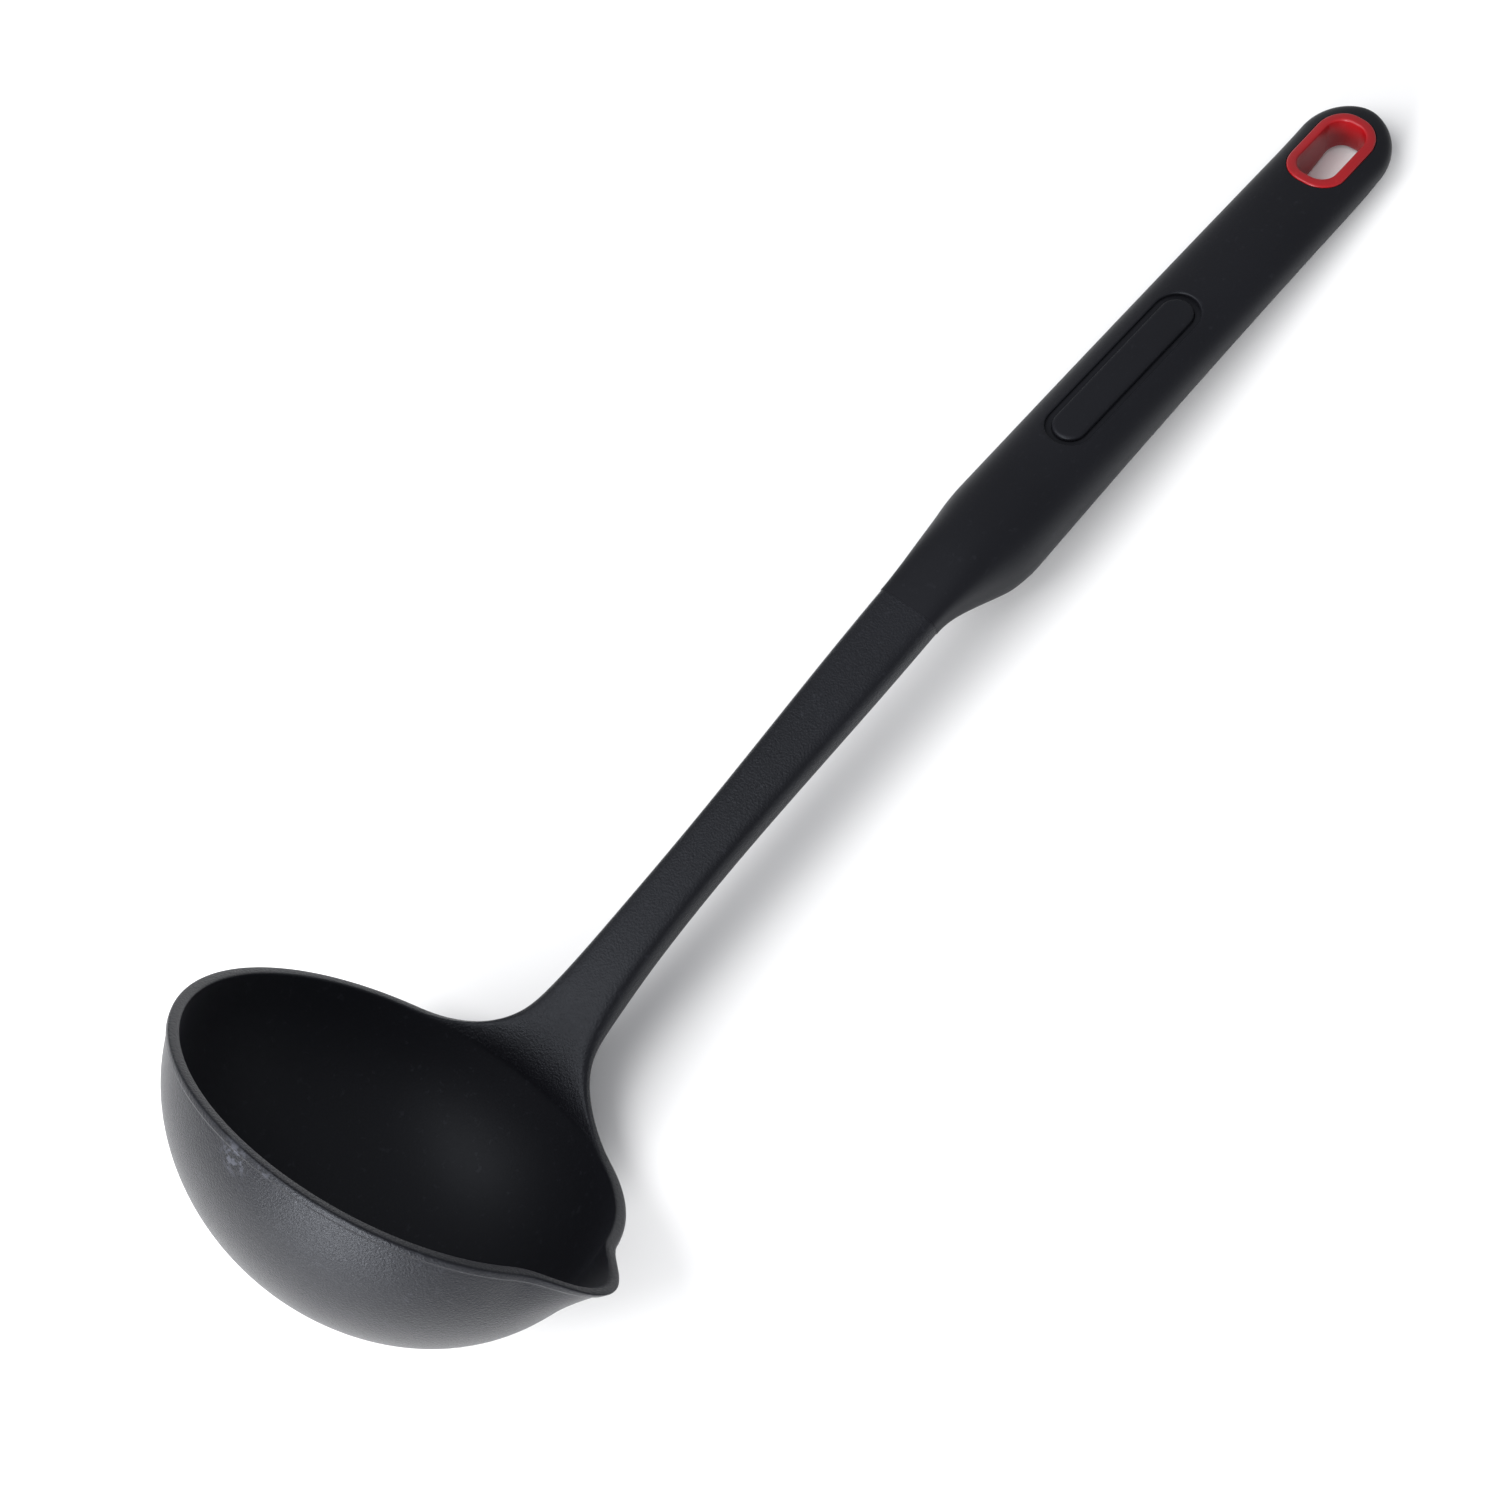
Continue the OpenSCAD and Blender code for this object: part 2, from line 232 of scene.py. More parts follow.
class HandleRun:
    """The top line of the handle and the sections that hang below it."""

    def __init__(self, bowl: BowlSizes, sizes: HandleSizes) -> None:
        """Walks along the top line in one-millimetre steps.

        Args:
            bowl: Sizes of the bowl that the handle grows out of.
            sizes: Sizes of the handle.
        """
        self.bowl = bowl
        self.sizes = sizes
        root = math.radians(sizes.root_angle)
        x = bowl.length / 2 - bowl.wall + sizes.embed - sizes.root_depth * math.cos(root)
        z = -sizes.root_depth * math.sin(root)
        s = -sizes.root_depth
        self._steps: list[tuple[float, float, float]] = []
        while s <= sizes.length + 1:
            self._steps.append((s, x, z))
            heading = self.heading(s + 0.5)
            x += math.cos(heading)
            z += math.sin(heading)
            s += 1

    def heading(self, s: float) -> float:
        """Direction of the top line at a distance from the rim.

        Args:
            s: Distance from the rim, along the top.

        Returns:
            The rise from the plane of the rim, in radians.
        """
        h = self.sizes
        bend = smooth((s - h.shank_length + h.bend_blend) / (2 * h.bend_blend))
        root = math.exp(-max(0.0, s) / h.neck_turn)
        return math.radians(mix(h.shank_angle, h.grip_angle, bend) + (h.root_angle - h.shank_angle) * root)

    def top(self, s: float) -> Vector:
        """Point of the top line at a distance from the rim."""
        columns = list(zip(*self._steps))
        return Vector((float(np.interp(s, columns[0], columns[1])), 0.0,
                       float(np.interp(s, columns[0], columns[2]))))

    def up(self, s: float) -> Vector:
        """Direction out of the top of the handle."""
        heading = self.heading(s)
        return Vector((-math.sin(heading), 0.0, math.cos(heading)))

    def on_grip(self, s: float, along: float, side: float, height: float) -> Vector:
        """Point given from the straight top of the grip.

        Args:
            s: Distance of the local origin from the rim.
            along: Distance from there along the grip.
            side: Distance to the side.
            height: Height above the top of the grip.

        Returns:
            The point in the maker's frame.
        """
        heading = math.radians(self.sizes.grip_angle)
        ahead = Vector((math.cos(heading), 0.0, math.sin(heading)))
        out = Vector((-math.sin(heading), 0.0, math.cos(heading)))
        return self.top(s) + ahead * along + out * height + Vector((0.0, side, 0.0))

    # The neck and the shank

    def neck_half_width(self, s: float) -> float:
        """Half the width of the neck or the shank."""
        h = self.sizes
        reach = h.neck_corner - clamp01(s / h.neck_corner) * h.neck_corner
        fillet = h.neck_corner - math.sqrt(h.neck_corner ** 2 - reach ** 2)
        widening = smooth((s - h.shank_length * 0.35) / (h.grip_cut - h.shank_length * 0.35))
        return (mix(h.shank_width, h.shank_end_width, widening) / 2
                + h.neck_spread * math.exp(-s / h.neck_turn) + fillet)

    def neck_point(self, s: float, across: float, through: float) -> Vector:
        """Point of the neck or the shank.

        Args:
            s: Distance from the rim, along the top.
            across: Place across the section, from -1 to 1.
            through: Place through the section, from 0 at the top face to 1 at the back.

        Returns:
            The point in the maker's frame.
        """
        h = self.sizes
        wall = self.bowl.wall
        thickness = mix(wall, h.shank_thickness, smooth(s / (2 * h.neck_turn)))
        edge = 0.9
        side, lift = across * edge, (1 - 2 * through) * superellipse_rest(edge, h.shank_square)
        if through in (0.0, 1.0):
            lift = math.copysign(superellipse_rest(side, h.shank_square), lift)
        elif abs(across) == 1.0:
            side = math.copysign(superellipse_rest(lift, h.shank_square), side)
        rounded = smooth(s / 10)
        off = max(0.0, abs(2 * through - 1) - 0.55) / 0.45
        land = across * (1 - self.bowl.rim_round * off ** 2 * (1 - rounded) / self.neck_half_width(s))
        y = self.neck_half_width(s) * mix(land, side, rounded)
        drop = thickness * mix(through, (1 - lift) / 2, rounded)
        share = min(0.95, abs(y) / (self.bowl.width / 2))
        hollow = self.bowl.length / 2 * (1 - math.sqrt(1 - share * share)) * math.exp(-s / h.neck_turn)
        inwards = Vector((-1.0, 0.0, 0.0)).lerp(self.up(s), smooth(s / h.neck_corner)).normalized()
        start = Vector((-h.embed * (1 - smooth(s / 20)), y, 0.0))
        return self.top(s) + start + inwards * (hollow - drop)

    def tang_point(self, tang: TangSizes, s: float, across: float, through: float) -> Vector:
        """Point of the tang, which runs straight inside the grip.

        Args:
            tang: Sizes of the tang.
            s: Distance from the rim, along the top.
            across: Place across the section, from -1 to 1.
            through: Place through the section, from 0 at the top to 1 at the back.

        Returns:
            The point in the maker's frame.
        """
        start = self.sizes.straight_start
        height = -tang.depth + (0.5 - through) * tang.thickness
        return self.on_grip(start, s - start, across * tang.width / 2, height)

    # The grip

    def grip_half_width(self, s: float) -> float:
        """Half the width of the grip."""
        h = self.sizes
        flared = smooth((s - h.grip_cut) / (h.flare_length + 7))
        body = mix(h.grip_width, h.grip_end_width, clamp01((s - h.flare_top) / (h.grip_length - 3)))
        over = clamp01((s - h.length + h.end_radius) / h.end_radius)
        return mix(h.shank_end_width, body, flared) / 2 * math.sqrt(1 - over * over)

    def grip_thickness(self, s: float) -> float:
        """Thickness of the grip below its top line."""
        h = self.sizes
        back = clamp01((h.length - s) / (h.length - h.shank_length - h.belly_place))
        rising = clamp01((s - h.length + h.tip_taper) / h.tip_taper)
        body = mix(h.grip_end_thickness, h.grip_belly, back * back) - h.tip_rise * rising * rising
        return mix(h.shank_thickness, body, smooth((s - h.grip_cut) / h.flare_length))

    def grip_fullness(self, s: float) -> float:
        """Share of the thickness that is left near the blunt round end."""
        h = self.sizes
        over = clamp01((s - h.length + h.end_radius) / h.end_radius)
        return (1 - over ** 5) ** 0.2

    def grip_squareness(self, s: float) -> float:
        """Squareness of the grip's section, which starts as the shank's."""
        h = self.sizes
        return mix(h.shank_square, h.grip_square, smooth((s - h.grip_cut) / h.flare_length))

    def grip_face(self, s: float, y: float) -> tuple[float, float]:
        """Heights of the top and the underside of the grip, measured from its top line.

        Args:
            s: Distance from the rim, along the top.
            y: Distance to the side.

        Returns:
            The height of the top face and of the underside.
        """
        share = y / max(1e-6, self.grip_half_width(s))
        bulge = self.grip_fullness(s) * superellipse_rest(share, self.grip_squareness(s))
        half = self.grip_thickness(s) / 2
        return half * (bulge - 1), -half * (bulge + 1)


class RowFrame:
    """The turn and the shift from the maker's frame to the stored frame."""

    def __init__(self, record: dict, run: HandleRun, hole: HoleSizes) -> None:
        """Reads the place and the lean of the hang hole from the record.

        Args:
            record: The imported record.
            run: The run of the handle.
            hole: Sizes of the hang hole.
        """
        mount = next(m for m in record["mounts"] if m["name"] == "hang_hole")
        lean = math.atan2(mount["axis"][0], mount["axis"][2])
        self.turn = Matrix.Rotation(math.radians(run.sizes.grip_angle) + lean, 3, "Y")
        hole_top = run.top(run.sizes.length - hole.inset)
        self.shift = Vector(mount["pos_m"]) - self.turn @ hole_top * MM

    def place(self, point: Vector) -> Vector:
        """Turns a point of the maker's frame, in millimetres, to the stored frame, in metres."""
        return self.turn @ point * MM + self.shift

    def matrix(self, origin: Vector, heading: float) -> Matrix:
        """Placement of something modelled flat, in metres, with +X along the grip.

        Args:
            origin: Place of its origin in the maker's frame, in millimetres.
            heading: Rise of its +X from the plane of the rim, in radians.

        Returns:
            The matrix from its own space to the stored frame.
        """
        turn = self.turn @ Matrix.Rotation(-heading, 3, "Y")
        return Matrix.Translation(self.place(origin)) @ turn.to_4x4()


# ---- bench work with the modelling tools ----------------------------------------------------------


class Bench:
    """Modelling steps that every piece shares."""

    @staticmethod
    def clear() -> None:
        """Deselects everything."""
        bpy.ops.object.select_all(action="DESELECT")

    @staticmethod
    def take(piece: bpy.types.Object) -> None:
        """Selects one piece alone and makes it active."""
        Bench.clear()
        piece.select_set(True)
        bpy.context.view_layer.objects.active = piece

    @staticmethod
    def new_piece(name: str) -> bpy.types.Object:
        """Names the primitive that was just added."""
        piece = bpy.context.object
        piece.name = name
        piece.data.name = name
        return piece

    @staticmethod
    def wrap_grid(name: str, columns: int, rows: int,
                  shape: Callable[[int, int], Vector]) -> bpy.types.Object:
        """Adds a grid and bends it into a closed skin.

        Args:
            name: Name of the piece.
            columns: Number of faces round the skin.
            rows: Number of faces along the skin.
            shape: Gives the place of a grid point from its column and row.

        Returns:
            The piece, with its seams not yet closed.
        """
        Bench.clear()
        bpy.ops.mesh.primitive_grid_add(x_subdivisions=columns, y_subdivisions=rows, size=1.0)
        piece = Bench.new_piece(name)
        for vertex in piece.data.vertices:
            column = round((vertex.co.x + 0.5) * columns)
            row = round((vertex.co.y + 0.5) * rows)
            vertex.co = shape(column, row)
        return piece

    @staticmethod
    def close_seams(piece: bpy.types.Object, distance: float = 1e-6) -> None:
        """Merges doubled points and turns all faces outwards."""
        Bench.take(piece)
        bpy.ops.object.mode_set(mode="EDIT")
        bpy.ops.mesh.select_all(action="SELECT")
        bpy.ops.mesh.remove_doubles(threshold=distance)
        bpy.ops.mesh.select_all(action="SELECT")
        bpy.ops.mesh.normals_make_consistent(inside=False)
        bpy.ops.object.mode_set(mode="OBJECT")

    @staticmethod
    def modify(piece: bpy.types.Object, kind: str, **settings: object) -> None:
        """Adds a modifier to a piece and applies it.

        Args:
            piece: The piece.
            kind: Blender's name for the modifier's type.
            **settings: Values for the modifier's settings.
        """
        Bench.take(piece)
        modifier = piece.modifiers.new(kind.title(), kind)
        for key, value in settings.items():
            setattr(modifier, key, value)
        bpy.ops.object.modifier_apply(modifier=modifier.name)

    @staticmethod
    def cut(piece: bpy.types.Object, cutter: bpy.types.Object) -> None:
        """Cuts the shape of one piece out of another and throws the cutter away."""
        Bench.modify(piece, "BOOLEAN", operation="DIFFERENCE", solver="EXACT", object=cutter)
        bpy.data.objects.remove(cutter, do_unlink=True)

    @staticmethod
    def soften(piece: bpy.types.Object, degrees: float) -> None:
        """Shades a piece smooth except across edges sharper than an angle."""
        Bench.take(piece)
        bpy.ops.object.shade_smooth_by_angle(angle=math.radians(degrees))

    @staticmethod
    def pull_face(piece: bpy.types.Object, lift: Vector, everything: bool) -> None:
        """Extrudes the selected faces of a piece.

        Args:
            piece: The piece.
            lift: How far they are moved at first.
            everything: Whether all faces are selected before that.
        """
        Bench.take(piece)
        bpy.ops.object.mode_set(mode="EDIT")
        bpy.ops.mesh.select_mode(type="FACE")
        if everything:
            bpy.ops.mesh.select_all(action="SELECT")
        bpy.ops.mesh.extrude_region_move(TRANSFORM_OT_translate={"value": tuple(lift)})
        bpy.ops.object.mode_set(mode="OBJECT")

    @staticmethod
    def extrude_slab(piece: bpy.types.Object, height: float) -> None:
        """Pulls the one flat face of a piece up into a slab."""
        Bench.take(piece)
        bpy.ops.object.mode_set(mode="EDIT")
        bpy.ops.mesh.select_all(action="SELECT")
        bpy.ops.mesh.extrude_region_move(TRANSFORM_OT_translate={"value": (0.0, 0.0, height)})
        bpy.ops.mesh.select_all(action="SELECT")
        bpy.ops.mesh.normals_make_consistent(inside=False)
        bpy.ops.object.mode_set(mode="OBJECT")

    @staticmethod
    def settle(piece: bpy.types.Object, matrix: Matrix) -> None:
        """Puts a piece in its place and leaves its object unturned at the origin."""
        Bench.take(piece)
        piece.matrix_world = matrix
        bpy.ops.object.transform_apply(location=True, rotation=True, scale=True)


class Outline(Enum):
    """The flat outlines that slabs are made from."""

    BAR = "bar with full round ends"
    ROUNDED = "rectangle with round corners"


def outline_point(length: float, width: float, radius: float, turn: float) -> tuple[Vector, Vector]:
    """Walks round a rectangle with round corners.

    Args:
        length: Length of the outline, along X.
        width: Width of the outline, along Y.
        radius: Radius of its corners.
        turn: Share of the way round, from 0 to 1.

    Returns:
        The point and the outward direction there.
    """
    straight_x, straight_y, arc = length - 2 * radius, width - 2 * radius, radius * math.pi / 2
    walk = (turn % 1.0) * (2 * (straight_x + straight_y) + 4 * arc)
    for quarter in range(4):
        run = straight_y if quarter % 2 == 0 else straight_x
        facing = quarter * math.pi / 2
        corner = Vector((straight_x / 2 * (1 if quarter in (0, 3) else -1),
                         straight_y / 2 * (1 if quarter in (0, 1) else -1), 0.0))
        out = Vector((math.cos(facing), math.sin(facing), 0.0))
        ahead = Vector((-out.y, out.x, 0.0))
        if walk <= run:
            return corner + out * radius - ahead * (run - walk), out
        walk -= run
        if walk <= arc:
            angle = facing + walk / radius
            out = Vector((math.cos(angle), math.sin(angle), 0.0))
            return corner + out * radius, out
        walk -= arc
    return Vector((straight_x / 2 + radius, -straight_y / 2, 0.0)), Vector((1.0, 0.0, 0.0))


def slab(name: str, kind: Outline, length: float, width: float, low: float, high: float,
         radius: float = 0.0, points: int = 96) -> bpy.types.Object:
    """Makes a flat slab with a rounded outline, in its own space.

    Args:
        name: Name of the piece.
        kind: Which outline it has.
        length: Length along X, in millimetres.
        width: Width along Y, in millimetres.
        low: Height of its underside, in millimetres.
        high: Height of its top, in millimetres.
        radius: Radius of the corners of a rounded rectangle, in millimetres.
        points: Number of points in the outline.

    Returns:
        The slab, in metres.
    """
    corner = width / 2 - 0.001 if kind is Outline.BAR else radius
    Bench.clear()
    bpy.ops.mesh.primitive_circle_add(vertices=points, radius=1.0, fill_type="NGON")
    piece = Bench.new_piece(name)
    for index, vertex in enumerate(piece.data.vertices):
        place, _ = outline_point(length, width, corner, index / points)
        vertex.co = (place + Vector((0.0, 0.0, low))) * MM
    Bench.extrude_slab(piece, (high - low) * MM)
    return piece


def loft(name: str, kind: Outline, length: float, width: float, radius: float, points: int,
         loops: Sequence[Callable[[Vector, Vector], Vector]]) -> bpy.types.Object:
    """Pulls a flat outline up through a row of loops, in its own space.

    Args:
        name: Name of the piece.
        kind: Which outline it has.
        length: Length along X, in millimetres.
        width: Width along Y, in millimetres.
        radius: Radius of the corners of a rounded rectangle, in millimetres.
        points: Number of points in each loop.
        loops: Each gives a point from the outline's point and the outward direction there.

    Returns:
        The piece, in metres.
    """
    corner = width / 2 - 0.001 if kind is Outline.BAR else radius
    places = [outline_point(length, width, corner, index / points) for index in range(points)]
    lift = Vector((0.0, 0.0, 0.001))
    Bench.clear()
    bpy.ops.mesh.primitive_circle_add(vertices=points, radius=1.0, fill_type="NGON")
    piece = Bench.new_piece(name)
    before: list[tuple[int, Vector]] = []
    for number, loop in enumerate(loops):
        if number == 0:
            order = {index: index for index in range(points)}
        else:
            Bench.pull_face(piece, lift, everything=number == 1)
            moved = [v for v in piece.data.vertices if v.select]
            order = {v.index: min(before, key=lambda pair: (pair[1] - v.co).length)[0] for v in moved}
        before = []
        for index, turn in order.items():
            vertex = piece.data.vertices[index]
            vertex.co = loop(*places[turn]) * MM
            before.append((turn, vertex.co + lift))
    Bench.close_seams(piece, 1e-8)
    return piece


# ---- finishes ------------------------------------------------------------------------------------


class Wear(Enum):
    """How much the surface shows of its use."""

    LIGHT = 0.35
    PLAIN = 0.6
    MARKED = 1.0


@dataclass(frozen=True)
class Finish:
    """One procedural finish, worked out on the object's own coordinates."""

    slot: str
    colour: tuple[float, float, float]
    worn: tuple[float, float, float]
    roughness: float
    polish: float
    sheen: float
    grain_scale: float
    grain_depth: float
    wear: Wear = Wear.PLAIN
    coat: float = 0.0
    marks: tuple[tuple[tuple[float, float, float], float], ...] = ()
    gleam: float = 0.3
    inner_roughness: float | None = None

    def build(self) -> bpy.types.Material:
        """Makes the material.

        Returns:
            A material whose colour, gloss and relief all come from noise.
        """
        material = bpy.data.materials.new(f"{self.slot}_finish")
        material.use_nodes = True
        nodes = FinishNodes(material.node_tree)
        shader = nodes.shader
        shader.inputs["Metallic"].default_value = 0.0
        shader.inputs["IOR"].default_value = 1.5
        shader.inputs["Specular IOR Level"].default_value = self.gleam
        shader.inputs["Specular Tint"].default_value = (0.86, 0.91, 1.0, 1.0)
        shader.inputs["Sheen Weight"].default_value = self.sheen
        shader.inputs["Sheen Roughness"].default_value = 0.45
        shader.inputs["Sheen Tint"].default_value = (0.72, 0.78, 1.0, 1.0)
        shader.inputs["Coat Weight"].default_value = self.coat
        shader.inputs["Coat Roughness"].default_value = 0.18
        clouds = nodes.noise(28.0, 4.0, 0.55)
        specks = nodes.noise(620.0, 3.0, 0.6)
        scratches = nodes.noise(260.0, 5.0, 0.7, stretch=(1.0, 5.0, 1.0))
        darker = tuple(c * 0.72 for c in self.colour)
        tone = nodes.ramp(clouds, ((0.34, darker), (0.66, self.colour)))
        flecked = nodes.blend_colour(nodes.fade(specks, 0.62, 0.74, 0.22), tone, self.worn)
        rubbed = nodes.fade(scratches, 0.63, 0.72, 0.42 * self.wear.value)
        chipped = nodes.fade(specks, 0.47, 0.56, 1.0)
        for spot, radius in self.marks:
            rubbed = nodes.maths("MAXIMUM", rubbed, nodes.maths("MULTIPLY", chipped, nodes.near(spot, radius)))
        nodes.join(nodes.blend_colour(rubbed, flecked, self.worn), shader.inputs["Base Color"])
        gloss = nodes.maths("ADD", nodes.fade(clouds, 0.3, 0.7, self.polish), self.roughness)
        if self.inner_roughness is not None:
            gloss = nodes.blend_value(nodes.attribute("inside"), gloss, self.inner_roughness)
        gloss = nodes.maths("ADD", gloss, nodes.maths("MULTIPLY", rubbed, 0.3))
        nodes.join(gloss, shader.inputs["Roughness"])
        grain = nodes.noise(self.grain_scale, 3.0, 0.6)
        depth = self.grain_depth
        if self.inner_roughness is not None:
            outer = nodes.maths("SUBTRACT", 1.0, nodes.attribute("inside"))
            grain = nodes.maths("MULTIPLY", grain, nodes.maths("ADD", nodes.maths("MULTIPLY", outer, 0.8), 0.2))
        relief = nodes.bump(grain, depth, 0.9)
        relief = nodes.bump(scratches, 0.00002, 0.35 * self.wear.value, relief)
        nodes.join(relief, shader.inputs["Normal"])
        log.info("finish %s: roughness %.2f, grain %.0f per metre", self.slot, self.roughness, self.grain_scale)
        return material


class FinishNodes:
    """Short names for the shader nodes that the finishes are made of."""

    def __init__(self, tree: bpy.types.NodeTree) -> None:
        """Keeps the tree and finds its shader.

        Args:
            tree: The node tree of a new material.
        """
        self.tree = tree
        self.shader = next(n for n in tree.nodes if n.type == "BSDF_PRINCIPLED")
        self.place = tree.nodes.new("ShaderNodeTexCoord").outputs["Object"]

    def join(self, value: object, socket: bpy.types.NodeSocket) -> None:
        """Links an output to a socket, or sets a plain value on it.

        Args:
            value: An output socket, a number or a colour.
            socket: The socket that takes it.
        """
        if isinstance(value, bpy.types.NodeSocket):
            self.tree.links.new(value, socket)
        elif isinstance(value, tuple):
            socket.default_value = (*value, 1.0)
        else:
            socket.default_value = value

    def attribute(self, name: str) -> bpy.types.NodeSocket:
        """Reads a value that the mesh carries."""
        node = self.tree.nodes.new("ShaderNodeAttribute")
        node.attribute_name = name
        return node.outputs["Fac"]

    def noise(self, scale: float, detail: float, rough: float,
              stretch: tuple[float, float, float] = (1.0, 1.0, 1.0)) -> bpy.types.NodeSocket:
        """Adds noise on the object's coordinates.

        Args:
            scale: Number of features to a metre.
            detail: Number of finer layers.
            rough: Weight of the finer layers.
            stretch: Scale along each axis.

        Returns:
            The noise, from 0 to 1.
        """
        spread = self.tree.nodes.new("ShaderNodeMapping")
        spread.inputs["Scale"].default_value = stretch
        self.join(self.place, spread.inputs["Vector"])
        node = self.tree.nodes.new("ShaderNodeTexNoise")
        self.join(spread.outputs["Vector"], node.inputs["Vector"])
        node.inputs["Scale"].default_value = scale
        node.inputs["Detail"].default_value = detail
        node.inputs["Roughness"].default_value = rough
        return node.outputs["Fac"]

    def near(self, spot: tuple[float, float, float], radius: float) -> bpy.types.NodeSocket:
        """Is highest at one spot and nothing beyond a radius.

        Args:
            spot: The spot, in metres.
            radius: Distance at which it reaches nothing.

        Returns:
            The closeness, from 0 to 1.
        """
        node = self.tree.nodes.new("ShaderNodeVectorMath")
        node.operation = "DISTANCE"
        self.join(self.place, node.inputs[0])
        node.inputs[1].default_value = spot
        return self.fade(node.outputs["Value"], radius, radius * 0.4, 1.0)

    def ramp(self, value: bpy.types.NodeSocket,
             stops: Iterable[tuple[float, tuple[float, float, float]]]) -> bpy.types.NodeSocket:
        """Turns a value into a colour.

        Args:
            value: The value, from 0 to 1.
            stops: Two places on the ramp with their colours.

        Returns:
            The colour.
        """
        node = self.tree.nodes.new("ShaderNodeValToRGB")
        for element, (place, colour) in zip(node.color_ramp.elements, stops):
            element.position = place
            element.color = (*colour, 1.0)
        self.join(value, node.inputs["Fac"])
        return node.outputs["Color"]

    def fade(self, value: bpy.types.NodeSocket, low: float, high: float, most: float) -> bpy.types.NodeSocket:
        """Rises from nothing at one value to the most at another.

        Args:
            value: The value read.
            low: Value at which it starts.
            high: Value at which it reaches the most.
            most: The highest result.

        Returns:
            The result.
        """
        node = self.tree.nodes.new("ShaderNodeMapRange")
        self.join(value, node.inputs["Value"])
        node.inputs["From Min"].default_value = low
        node.inputs["From Max"].default_value = high
        node.inputs["To Max"].default_value = most
        return node.outputs["Result"]

    def maths(self, kind: str, first: object, second: object) -> bpy.types.NodeSocket:
        """Joins two values with one operation."""
        node = self.tree.nodes.new("ShaderNodeMath")
        node.operation = kind
        self.join(first, node.inputs[0])
        self.join(second, node.inputs[1])
        return node.outputs["Value"]

    def blend_value(self, share: bpy.types.NodeSocket, first: object, second: object) -> bpy.types.NodeSocket:
        """Goes from one value to another."""
        node = self.tree.nodes.new("ShaderNodeMix")
        node.data_type = "FLOAT"
        self.join(share, node.inputs[0])
        self.join(first, node.inputs[2])
        self.join(second, node.inputs[3])
        return node.outputs[0]

    def blend_colour(self, share: bpy.types.NodeSocket, first: object, second: object) -> bpy.types.NodeSocket:
        """Goes from one colour to another."""
        node = self.tree.nodes.new("ShaderNodeMix")
        node.data_type = "RGBA"
        self.join(share, node.inputs[0])
        self.join(first, node.inputs[6])
        self.join(second, node.inputs[7])
        return node.outputs[2]

    def bump(self, height: bpy.types.NodeSocket, depth: float, strength: float,
             before: bpy.types.NodeSocket | None = None) -> bpy.types.NodeSocket:
        """Raises the surface a little.

        Args:
            height: The height, from 0 to 1.
            depth: Depth of the relief, in metres.
            strength: Share of it that shows.
            before: Relief that it is laid on.

        Returns:
            The new normal.
        """
        node = self.tree.nodes.new("ShaderNodeBump")
        node.inputs["Strength"].default_value = strength
        node.inputs["Distance"].default_value = depth
        self.join(height, node.inputs["Height"])
        if before is not None:
            self.join(before, node.inputs["Normal"])
        return node.outputs["Normal"]


SCUFF = ((-0.1526, 0.0054, 0.0792), 0.0042)
NICK = ((-0.1512, -0.0013, 0.0806), 0.0016)
NYLON = Finish("nylon", (0.0055, 0.0056, 0.0075), (0.04, 0.042, 0.052), 0.33, 0.07, 0.015, 2300.0, 0.00016,
               Wear.LIGHT, marks=(SCUFF, NICK), gleam=0.22, inner_roughness=0.5)
SATIN = Finish("grip", (0.0045, 0.0045, 0.0062), (0.02, 0.02, 0.025), 0.42, 0.08, 0.01, 3200.0, 0.00003,
               gleam=0.2)
RED = Finish("liner", (0.34, 0.003, 0.006), (0.42, 0.02, 0.02), 0.34, 0.1, 0.0, 2400.0, 0.00002,
             Wear.LIGHT, coat=0.1, gleam=0.35)
BADGE = Finish("badge", (0.0045, 0.0045, 0.0062), (0.02, 0.02, 0.025), 0.4, 0.08, 0.01, 3600.0, 0.00003,
               Wear.LIGHT, gleam=0.2)


# ---- sub-assemblies ---------------------------------------------------------------------------------


@dataclass
class Piece:
    """What every piece of the ladle has."""

    node: str
    finish: Finish
    bowl: BowlSizes = field(default_factory=BowlSizes)
    lip: LipSizes = field(default_factory=LipSizes)
    handle: HandleSizes = field(default_factory=HandleSizes)
    hole: HoleSizes = field(default_factory=HoleSizes)
    badge: BadgeSizes = field(default_factory=BadgeSizes)
    tang: TangSizes = field(default_factory=TangSizes)

    def __post_init__(self) -> None:
        """Sets up the run of the handle and the stored frame."""
        self.run = HandleRun(self.bowl, self.handle)
        self.row = RowFrame(frame["record"], self.run, self.hole)
        self.heading = math.radians(self.handle.grip_angle)

    def finish_off(self, piece: bpy.types.Object) -> bpy.types.Object:
        """Gives a piece its finish and puts it in place of its plain node.

        Args:
            piece: The finished shape.

        Returns:
            The same piece.
        """
        piece.data.materials.clear()
        piece.data.materials.append(self.finish.build())
        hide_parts(self.node)
        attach(piece, "root")
        log.info("%s: %d faces", piece.name, len(piece.data.polygons))
        return piece


